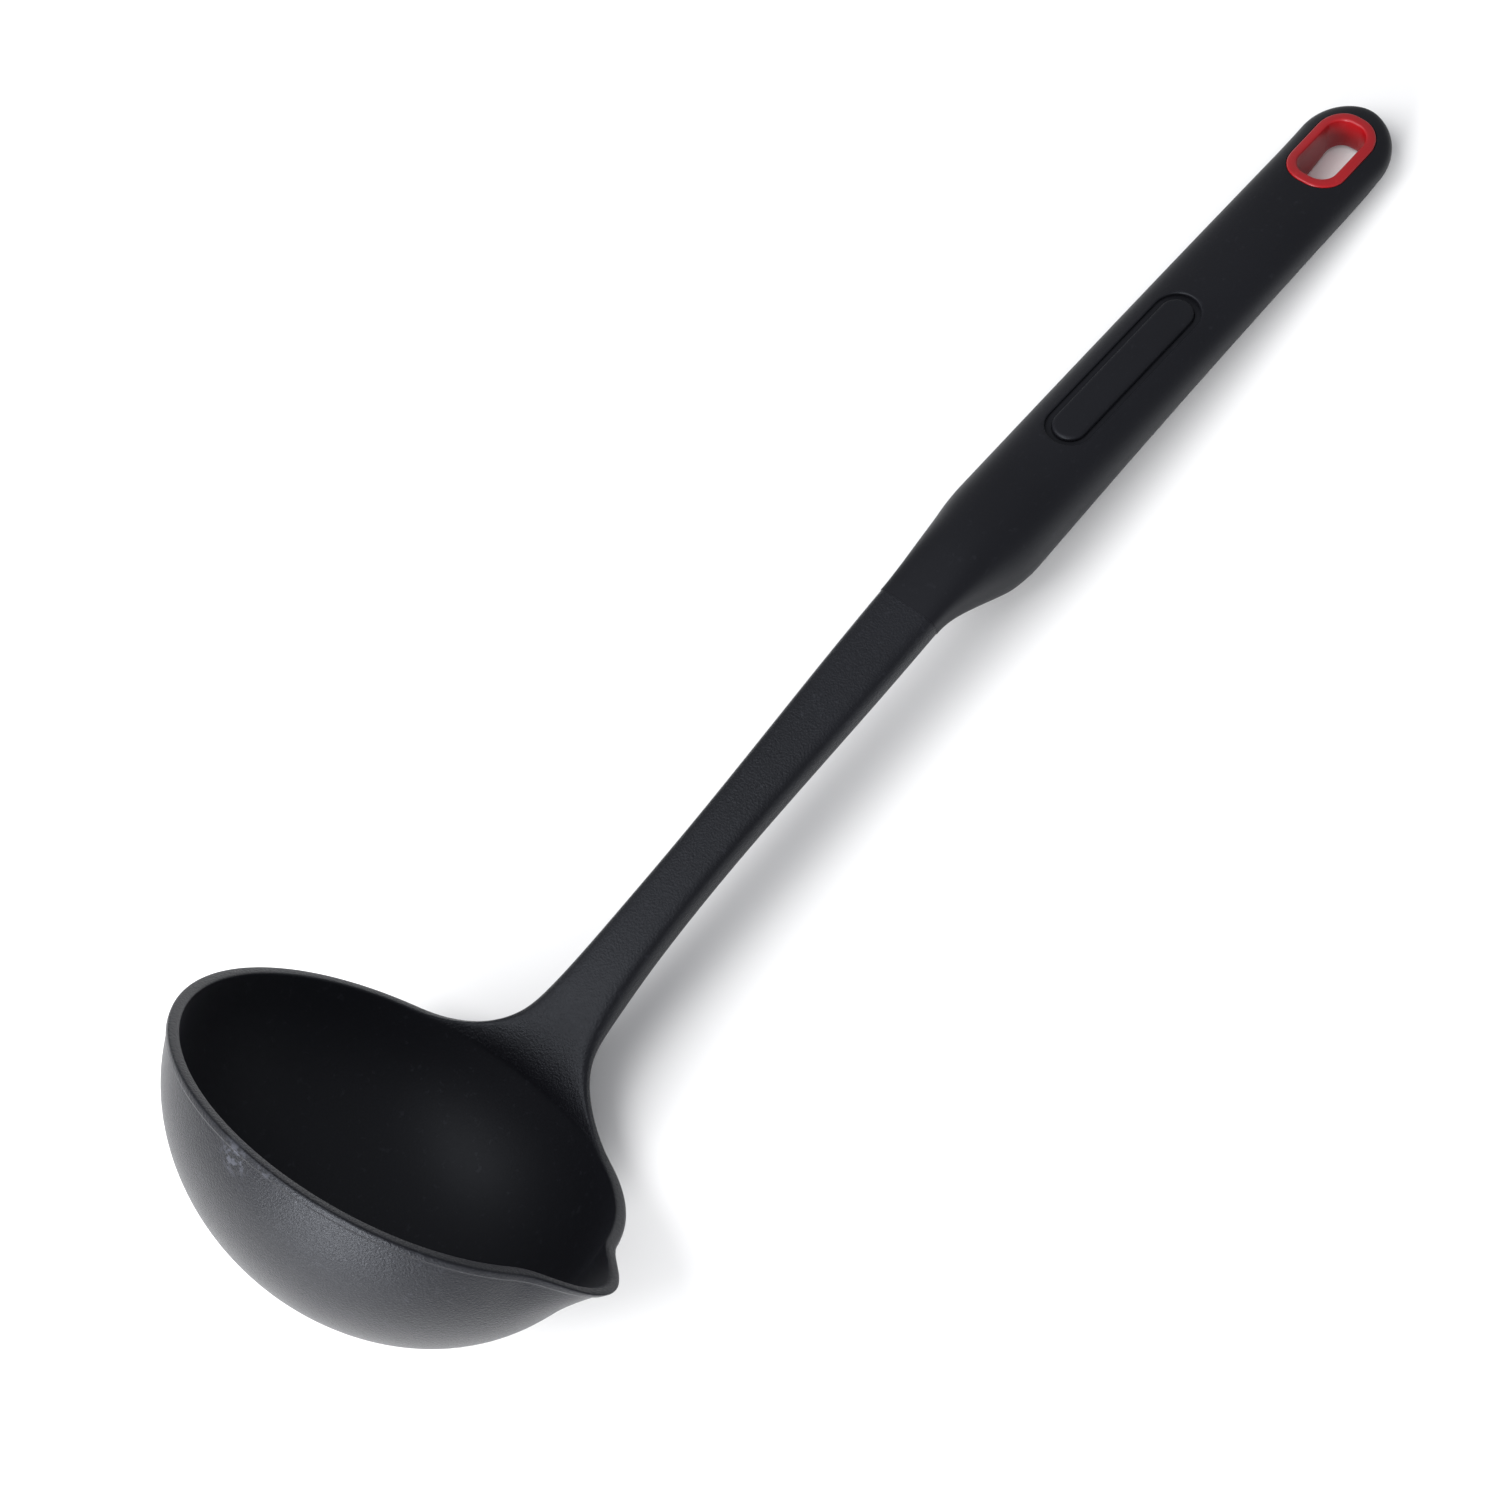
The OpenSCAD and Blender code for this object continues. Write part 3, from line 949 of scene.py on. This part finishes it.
class LadleHead(Piece):
    """Bowl, pouring lip, neck, shank and tang, moulded in one."""

    COLUMNS = 108
    FOOT_COLUMNS = 10
    WALL_ROWS = 12

    def bump(self, direction: float) -> float:
        """Reach of the lip in one direction, at the rim."""
        off = (direction - self.lip.direction + 540) % 360 - 180
        along = math.radians(off) * self.bowl.width / 2
        if abs(along) >= self.lip.width / 2:
            return 0.0
        return self.lip.reach * (1 + math.cos(2 * math.pi * along / self.lip.width)) / 2

    def skin_point(self, direction: float, z: float, inset: float, proud: float) -> Vector:
        """Point of the bowl's skin.

        Args:
            direction: Direction from the middle, in degrees from the handle.
            z: Height, which is zero at the rim.
            inset: Distance inwards from the outer face.
            proud: How far the bead stands out there.

        Returns:
            The point in the maker's frame.
        """
        b = self.bowl
        shrink = math.sqrt(max(0.0, 1 - (z / (b.depth - inset)) ** 2))
        fade = clamp01(1 + z / (b.depth * self.lip.drop)) ** 2
        bead = smooth((abs((direction + 540) % 360 - 180) - 18) / 16)
        out = self.bump(direction) * fade + proud * bead
        angle = math.radians(direction)
        return Vector((((b.length / 2 - inset) * shrink + out) * math.cos(angle) - b.setback * z / b.depth,
                       ((b.width / 2 - inset) * shrink + out) * math.sin(angle), z))

    def profile(self) -> list[tuple[float, float, float]]:
        """Rows of the bowl's section, from the pole outside to the pole inside.

        Returns:
            Height, inset and bead for each row.
        """
        b, rows = self.bowl, []
        outer, inner = b.depth, b.depth - b.wall
        first = math.asin((b.bead_height + b.bead_out + 1.0) / outer)
        last = math.asin((b.rim_round + 1.2) / inner)
        for k in range(self.WALL_ROWS + 1):
            rows.append((-outer * math.sin(mix(math.pi / 2, first, k / self.WALL_ROWS)), 0.0, 0.0))
        low = -b.bead_height - b.bead_out
        rows += [(low - 0.25, 0.0, 0.0), (low + 0.02, 0.0, 0.0), (-b.bead_height - 0.04, 0.0, b.bead_out * 0.96),
                 (-b.bead_height + 0.12, 0.0, b.bead_out)]
        rows += self.rim_rows()
        for k in range(self.WALL_ROWS + 1):
            rows.append((-inner * math.sin(mix(last, math.pi / 2, k / self.WALL_ROWS)), b.wall, 0.0))
        return rows

    def rim_rows(self) -> list[tuple[float, float, float]]:
        """Rows over the top of the rim, from the outer face to the inner."""
        r, wall, out = self.bowl.rim_round, self.bowl.wall, self.bowl.bead_out
        return [(-r, 0.0, out), (-r * 0.3, r * 0.3, out), (0.0, r, out),
                (0.0, wall - r, 0.0), (-r * 0.3, wall - r * 0.3, 0.0), (-r, wall, 0.0)]

    def build(self) -> bpy.types.Object:
        """Models the head.

        Returns:
            The finished piece.
        """
        rows = self.profile()
        start = rows.index(self.rim_rows()[0])
        step = 360.0 / self.COLUMNS

        def shape(column: int, row: int) -> Vector:
            return self.row.place(self.skin_point(180.0 - column * step, *rows[row]))

        piece = Bench.wrap_grid(self.node, self.COLUMNS, len(rows) - 1, shape)
        self.mark(piece, len(rows) - 1, start)
        Bench.close_seams(piece)
        self.grow_handle(piece)
        Bench.modify(piece, "SUBSURF", levels=2, render_levels=2, boundary_smooth="PRESERVE_CORNERS")
        Bench.take(piece)
        bpy.ops.object.shade_smooth()
        return self.finish_off(piece)

    def mark(self, piece: bpy.types.Object, rows: int, start: int) -> None:
        """Writes down where each point of the skin lies.

        Args:
            piece: The skin, whose points are still in the order of the grid.
            rows: Number of faces along the skin.
            start: Row at which the rim starts.
        """
        mesh = piece.data
        across = mesh.attributes.new("across", "FLOAT", "POINT")
        band = mesh.attributes.new("band", "FLOAT", "POINT")
        inside = mesh.attributes.new("inside", "FLOAT", "POINT")
        for index in range(len(mesh.vertices)):
            row, column = divmod(index, self.COLUMNS + 1)
            across.data[index].value = (self.COLUMNS / 2 - column) / self.FOOT_COLUMNS
            band.data[index].value = row - start
            inside.data[index].value = 1.0 if row > start + 4 else 0.0

    def through(self, band: int, s: float) -> float:
        """Place through the neck of one row of the rim.

        Args:
            band: The row, counted from the outer face.
            s: Distance from the rim, along the top.

        Returns:
            The place, from 0 at the top face to 1 at the back.
        """
        inset = self.rim_rows()[band][1]
        return mix(1 - inset / self.bowl.wall, 1 - band / 5, smooth(s / 10))

    def grow_handle(self, piece: bpy.types.Object) -> None:
        """Pulls the neck, the shank and the tang out of the rim, loop by loop.

        Args:
            piece: The closed skin of the bowl.
        """
        mesh = piece.data
        h, t = self.handle, self.tang
        across = [a.value for a in mesh.attributes["across"].data]
        band = [a.value for a in mesh.attributes["band"].data]
        for polygon in mesh.polygons:
            polygon.select = all(abs(across[v]) < 1.01 and -0.5 < band[v] < 5.5 for v in polygon.vertices)
        for vertex in mesh.vertices:
            vertex.select = False
        for edge in mesh.edges:
            edge.select = False
        near = [0.35, 0.9, 1.7, 2.8, 4.2, 6.0, 8.2, 10.8, 14.0, 18.0, 23.0, 29.0]
        shank = [mix(36.0, h.grip_cut - 1.2, k / 8) for k in range(9)]
        stations: list[Callable[[float, float], Vector]] = []
        for s in [*near, *shank, h.grip_cut - 0.2, h.grip_cut - 0.03, h.grip_cut - 0.015]:
            stations.append(lambda a, b, s=s: self.run.neck_point(s, a, self.through(round(b), s)))
        stations.append(lambda a, b: self.run.neck_point(h.grip_cut - 0.01, a * 0.97,
                                                         0.5 + (self.through(round(b), 99.0) - 0.5) * 0.97))
        for s in (h.grip_cut - 0.05, h.grip_cut + 0.3, h.length - t.stop - 0.4, h.length - t.stop):
            stations.append(lambda a, b, s=s: self.run.tang_point(t, s, a, 1 - b / 5))
        for station in stations:
            bpy.ops.object.mode_set(mode="EDIT")
            bpy.ops.mesh.select_mode(type="FACE")
            bpy.ops.mesh.extrude_region_move(TRANSFORM_OT_translate={"value": (0.0, 0.0, 0.001)})
            bpy.ops.object.mode_set(mode="OBJECT")
            sideways, rows = mesh.attributes["across"].data, mesh.attributes["band"].data
            for vertex in mesh.vertices:
                if vertex.select:
                    a, b = sideways[vertex.index].value, rows[vertex.index].value
                    vertex.co = self.row.place(station(max(-1.0, min(1.0, a)), b))
                    mesh.attributes["inside"].data[vertex.index].value = 0.0


class HandleGrip(Piece):
    """Satin grip with a belly, seats for the liner and the badge, and a socket for the tang."""

    AROUND = 96

    def stations(self) -> list[float]:
        """Places of the grip's sections, from the shank to the round end."""
        h = self.handle
        flare = list(np.linspace(h.grip_cut, h.flare_top + 8, 44))
        body = list(np.linspace(h.flare_top + 8, h.length - h.end_radius - 4, 70))[1:]
        end = [h.length - (h.end_radius + 4) * (1 - math.sin(k / 40 * math.pi / 2)) for k in range(1, 41)]
        return [float(s) for s in flare + body + end]

    def skin(self, s: float, turn: float) -> Vector:
        """Point of the grip's skin.

        Args:
            s: Distance from the rim, along the top.
            turn: Angle round the section, in radians.

        Returns:
            The point in the maker's frame.
        """
        exponent = 2 / self.run.grip_squareness(s)
        half = self.run.grip_thickness(s) / 2
        y = self.run.grip_half_width(s) * signed_power(math.cos(turn), exponent)
        lift = half * (self.run.grip_fullness(s) * signed_power(math.sin(turn), exponent) - 1)
        return self.run.top(s) + self.run.up(s) * lift + Vector((0.0, y, 0.0))

    def surface(self, place: float, point: Vector) -> float:
        """Height of the grip's top over a point given from a place on it."""
        return self.run.grip_face(place + point.x, point.y)[0]

    def well(self, name: str, kind: Outline, place: float, length: float, width: float, radius: float,
             floor: float, flare: float) -> bpy.types.Object:
        """Makes a cutter for a hollow whose upper edge is rounded off.

        Args:
            name: Name of the cutter.
            kind: Which outline it has.
            place: Distance of its middle from the rim.
            length: Length along the grip.
            width: Width across the grip.
            radius: Radius of its corners.
            floor: Depth of its floor below the top line.
            flare: Radius of the rounded upper edge.

        Returns:
            The cutter, in its place.
        """
        def at(out: float, lift: float) -> Callable[[Vector, Vector], Vector]:
            def point(p: Vector, normal: Vector) -> Vector:
                q = p + normal * out
                return Vector((q.x, q.y, self.surface(place, q) + lift))
            return point

        loops = [lambda p, n: Vector((p.x, p.y, -floor)), at(0.0, -flare)]
        loops += [at(flare * (1 - math.cos(a)), -flare * (1 - math.sin(a))) for a in (0.4, 0.8, 1.15)]
        loops += [at(flare * 1.25, 0.12), lambda p, n: Vector((p.x + n.x * flare * 1.6, p.y + n.y * flare * 1.6, 2.0))]
        cutter = loft(name, kind, length, width, radius, 160, loops)
        Bench.settle(cutter, self.row.matrix(self.run.top(place), self.heading))
        return cutter

    def build(self) -> bpy.types.Object:
        """Models the grip.

        Returns:
            The finished piece.
        """
        h, hole, badge, tang = self.handle, self.hole, self.badge, self.tang
        stations = self.stations()
        last = len(stations) + 1

        def shape(column: int, row: int) -> Vector:
            if row == 0 or row == last:
                s = stations[0] if row == 0 else stations[-1]
                return self.row.place(self.run.top(s) - self.run.up(s) * self.run.grip_thickness(s) / 2)
            return self.row.place(self.skin(stations[row - 1], column / self.AROUND * 2 * math.pi))

        piece = Bench.wrap_grid(self.node, self.AROUND, last, shape)
        Bench.close_seams(piece)
        place = h.length - hole.inset
        ring = 2 * (hole.ring_width + tang.fit_gap)
        sleeve = 2 * (hole.sleeve_wall + tang.fit_gap)
        Bench.cut(piece, self.well("ring_seat", Outline.ROUNDED, place, hole.length + ring, hole.width + ring,
                                   hole.corner + ring / 2, hole.ring_depth + tang.fit_gap, 0.12))
        through = slab("sleeve_hole", Outline.ROUNDED, hole.length + sleeve, hole.width + sleeve,
                       -2 * h.grip_end_thickness, -hole.ring_depth + 0.5, hole.corner + sleeve / 2, 120)
        Bench.settle(through, self.row.matrix(self.run.top(place), self.heading))
        Bench.cut(piece, through)
        middle = h.shank_length + badge.place
        Bench.cut(piece, self.well("badge_recess", Outline.BAR, middle, badge.length, badge.width, 0.0,
                                   badge.recess, 0.35))
        gap = 2 * tang.fit_gap
        seat = slab("badge_seat", Outline.BAR, badge.pad_length + gap, badge.pad_width + gap,
                    -badge.recess - badge.seat, -badge.recess + 0.4, 0.0, 120)
        Bench.settle(seat, self.row.matrix(self.run.top(middle), self.heading))
        Bench.cut(piece, seat)
        self.cut_socket(piece)
        Bench.soften(piece, 38)
        return self.finish_off(piece)

    def cut_socket(self, piece: bpy.types.Object) -> None:
        """Cuts the socket for the tang.

        Args:
            piece: The grip.
        """
        h, tang = self.handle, self.tang
        start, end = h.grip_cut - 4 - h.straight_start, h.length - tang.stop + tang.fit_gap - h.straight_start
        Bench.clear()
        bpy.ops.mesh.primitive_cube_add(size=1.0)
        cutter = Bench.new_piece("tang_socket")
        size = Vector((end - start, tang.width + 2 * tang.fit_gap, tang.thickness + 2 * tang.fit_gap))
        for vertex in cutter.data.vertices:
            vertex.co = Vector((vertex.co.x * size.x + (start + end) / 2, vertex.co.y * size.y,
                                vertex.co.z * size.z - tang.depth)) * MM
        Bench.settle(cutter, self.row.matrix(self.run.top(h.straight_start), self.heading))
        Bench.cut(piece, cutter)


class HangHoleLiner(Piece):
    """Red sleeve with a ring that follows the top of the grip."""

    AROUND = 160

    def section(self) -> list[tuple[float, float, bool | None]]:
        """Rows of the liner's section, once round.

        Returns:
            Distance outwards from the opening, height, and the face it is measured from: the top, the
            underside, or the flat depth below the top line.
        """
        w, deep, sleeve, proud = self.hole.ring_width, self.hole.ring_depth, self.hole.sleeve_wall, self.hole.ring_proud
        r = 0.55
        inner = [(r * (1 - math.cos(a)), proud - r * (1 - math.sin(a)), True) for a in (0.0, 0.4, 0.8, 1.2, 1.57)]
        outer = [(w - 0.4 * (1 - math.sin(a)), proud - 0.4 * (1 - math.cos(a)), True)
                 for a in (0.0, 0.4, 0.8, 1.2, 1.57)]
        return [(0.0, 0.35, False), (0.0, 1.5, False), (0.0, -2.6, True), *inner,
                (w / 2, proud + 0.02, True), *outer, (w, -0.6, True), (w, -deep + 0.1, None), (w - 0.1, -deep, None),
                (sleeve + 0.1, -deep, None), (sleeve, -deep - 0.15, None), (sleeve, 1.5, False), (sleeve, 0.2, False),
                (sleeve - 0.2, 0.0, False), (0.35, 0.0, False), (0.1, 0.1, False), (0.0, 0.35, False)]

    def build(self) -> bpy.types.Object:
        """Models the liner.

        Returns:
            The finished piece.
        """
        hole, rows = self.hole, self.section()
        place = self.handle.length - hole.inset

        def shape(column: int, row: int) -> Vector:
            base, normal = outline_point(hole.length, hole.width, hole.corner, column / self.AROUND)
            out, height, face = rows[row]
            p = base + normal * out
            top, under = self.run.grip_face(place + p.x, p.y)
            level = {True: top, False: under, None: 0.0}[face]
            return Vector((p.x, p.y, level + height)) * MM

        piece = Bench.wrap_grid(self.node, self.AROUND, len(rows) - 1, shape)
        Bench.close_seams(piece, 1e-7)
        Bench.settle(piece, self.row.matrix(self.run.top(place), self.heading))
        Bench.soften(piece, 50)
        return self.finish_off(piece)


class BadgeInlay(Piece):
    """Blank oval pad, let into the grip."""

    def build(self) -> bpy.types.Object:
        """Models the badge.

        Returns:
            The finished piece.
        """
        badge, gap = self.badge, self.tang.fit_gap
        middle = self.handle.shank_length + badge.place
        low = -badge.recess - badge.seat + gap

        def at(inset: float, height: float) -> Callable[[Vector, Vector], Vector]:
            return lambda p, n: Vector((p.x - n.x * inset, p.y - n.y * inset, height))

        edge = [(0.0, -0.85), (0.03, -0.6), (0.12, -0.36), (0.26, -0.18), (0.45, -0.07), (0.7, -0.015), (1.0, 0.0)]
        loops = [at(0.1, low), at(0.0, low + 0.1)] + [at(*pair) for pair in edge]
        piece = loft(self.node, Outline.BAR, badge.pad_length, badge.pad_width, 0.0, 160, loops)
        Bench.settle(piece, self.row.matrix(self.run.top(middle), self.heading))
        Bench.soften(piece, 50)
        return self.finish_off(piece)


# ---- studio ------------------------------------------------------------------------------------------


@dataclass(frozen=True)
class Light:
    """One large soft light."""

    name: str
    place: tuple[float, float, float]
    size: float
    power: float


@dataclass
class Studio:
    """Pale floor, soft light and the camera."""

    location: tuple[float, float, float] = (-0.1435, -0.2156, 0.5150)
    aim: tuple[float, float, float] = (-0.0297, 0.0097, 0.0200)
    upward: tuple[float, float, float] = (0.7390, 0.5328, 0.4125)
    lens: float = 67.61
    lights: tuple[Light, ...] = (
        Light("left_light", (-0.85, 0.45, 0.6), 0.6, 3.0),
        Light("low_light", (-0.95, -0.2, 0.3), 0.34, 13.0),
        Light("top_light", (-0.55, 0.4, 1.15), 1.0, 13.0),
    )

    def build(self) -> None:
        """Sets the floor, the light and the camera."""
        self.build_floor()
        self.build_light()
        self.build_camera()
        bpy.context.scene.view_settings.view_transform = "Standard"

    def build_floor(self) -> None:
        """Lays a pale floor with a trace of grain."""
        Bench.clear()
        bpy.ops.mesh.primitive_plane_add(size=8.0)
        floor = Bench.new_piece("floor")
        material = bpy.data.materials.new("floor_finish")
        material.use_nodes = True
        nodes = FinishNodes(material.node_tree)
        nodes.join(nodes.ramp(nodes.noise(6.0, 3.0, 0.5), ((0.3, (0.9, 0.9, 0.9)), (0.7, (0.93, 0.93, 0.93)))),
                   nodes.shader.inputs["Base Color"])
        nodes.shader.inputs["Roughness"].default_value = 0.9
        floor.data.materials.append(material)

    def build_light(self) -> None:
        """Adds an even world light and the soft lights."""
        world = bpy.data.worlds.new("studio")
        bpy.context.scene.world = world
        world.use_nodes = True
        background = next(n for n in world.node_tree.nodes if n.type == "BACKGROUND")
        background.inputs["Color"].default_value = (0.96, 0.97, 1.0, 1.0)
        background.inputs["Strength"].default_value = 0.6
        for light in self.lights:
            Bench.clear()
            bpy.ops.object.light_add(type="AREA", location=light.place)
            lamp = bpy.context.object
            lamp.name = light.name
            lamp.data.size = light.size
            lamp.data.energy = light.power
            lamp.rotation_euler = (-Vector(light.place)).to_track_quat("-Z", "Y").to_euler()

    def build_camera(self) -> None:
        """Aims the camera."""
        back = (Vector(self.location) - Vector(self.aim)).normalized()
        right = Vector(self.upward).cross(back).normalized()
        up = back.cross(right)
        Bench.clear()
        bpy.ops.object.camera_add(location=self.location)
        camera = bpy.context.object
        camera.name = "camera"
        turn = Matrix((right, up, back)).transposed()
        camera.matrix_world = Matrix.Translation(Vector(self.location)) @ turn.to_4x4()
        camera.data.lens = self.lens
        camera.data.sensor_width = 36.0
        camera.data.clip_start = 0.01
        bpy.context.scene.camera = camera


def main() -> None:
    """Builds the four pieces and the studio."""
    logging.basicConfig(level=logging.INFO, format="%(name)s: %(message)s")
    LadleHead("ladle_head", NYLON).build()
    HandleGrip("handle_grip", SATIN).build()
    HangHoleLiner("hang_hole_liner", RED).build()
    BadgeInlay("badge_inlay", BADGE).build()
    Studio().build()


if __name__ == "__main__":
    main()
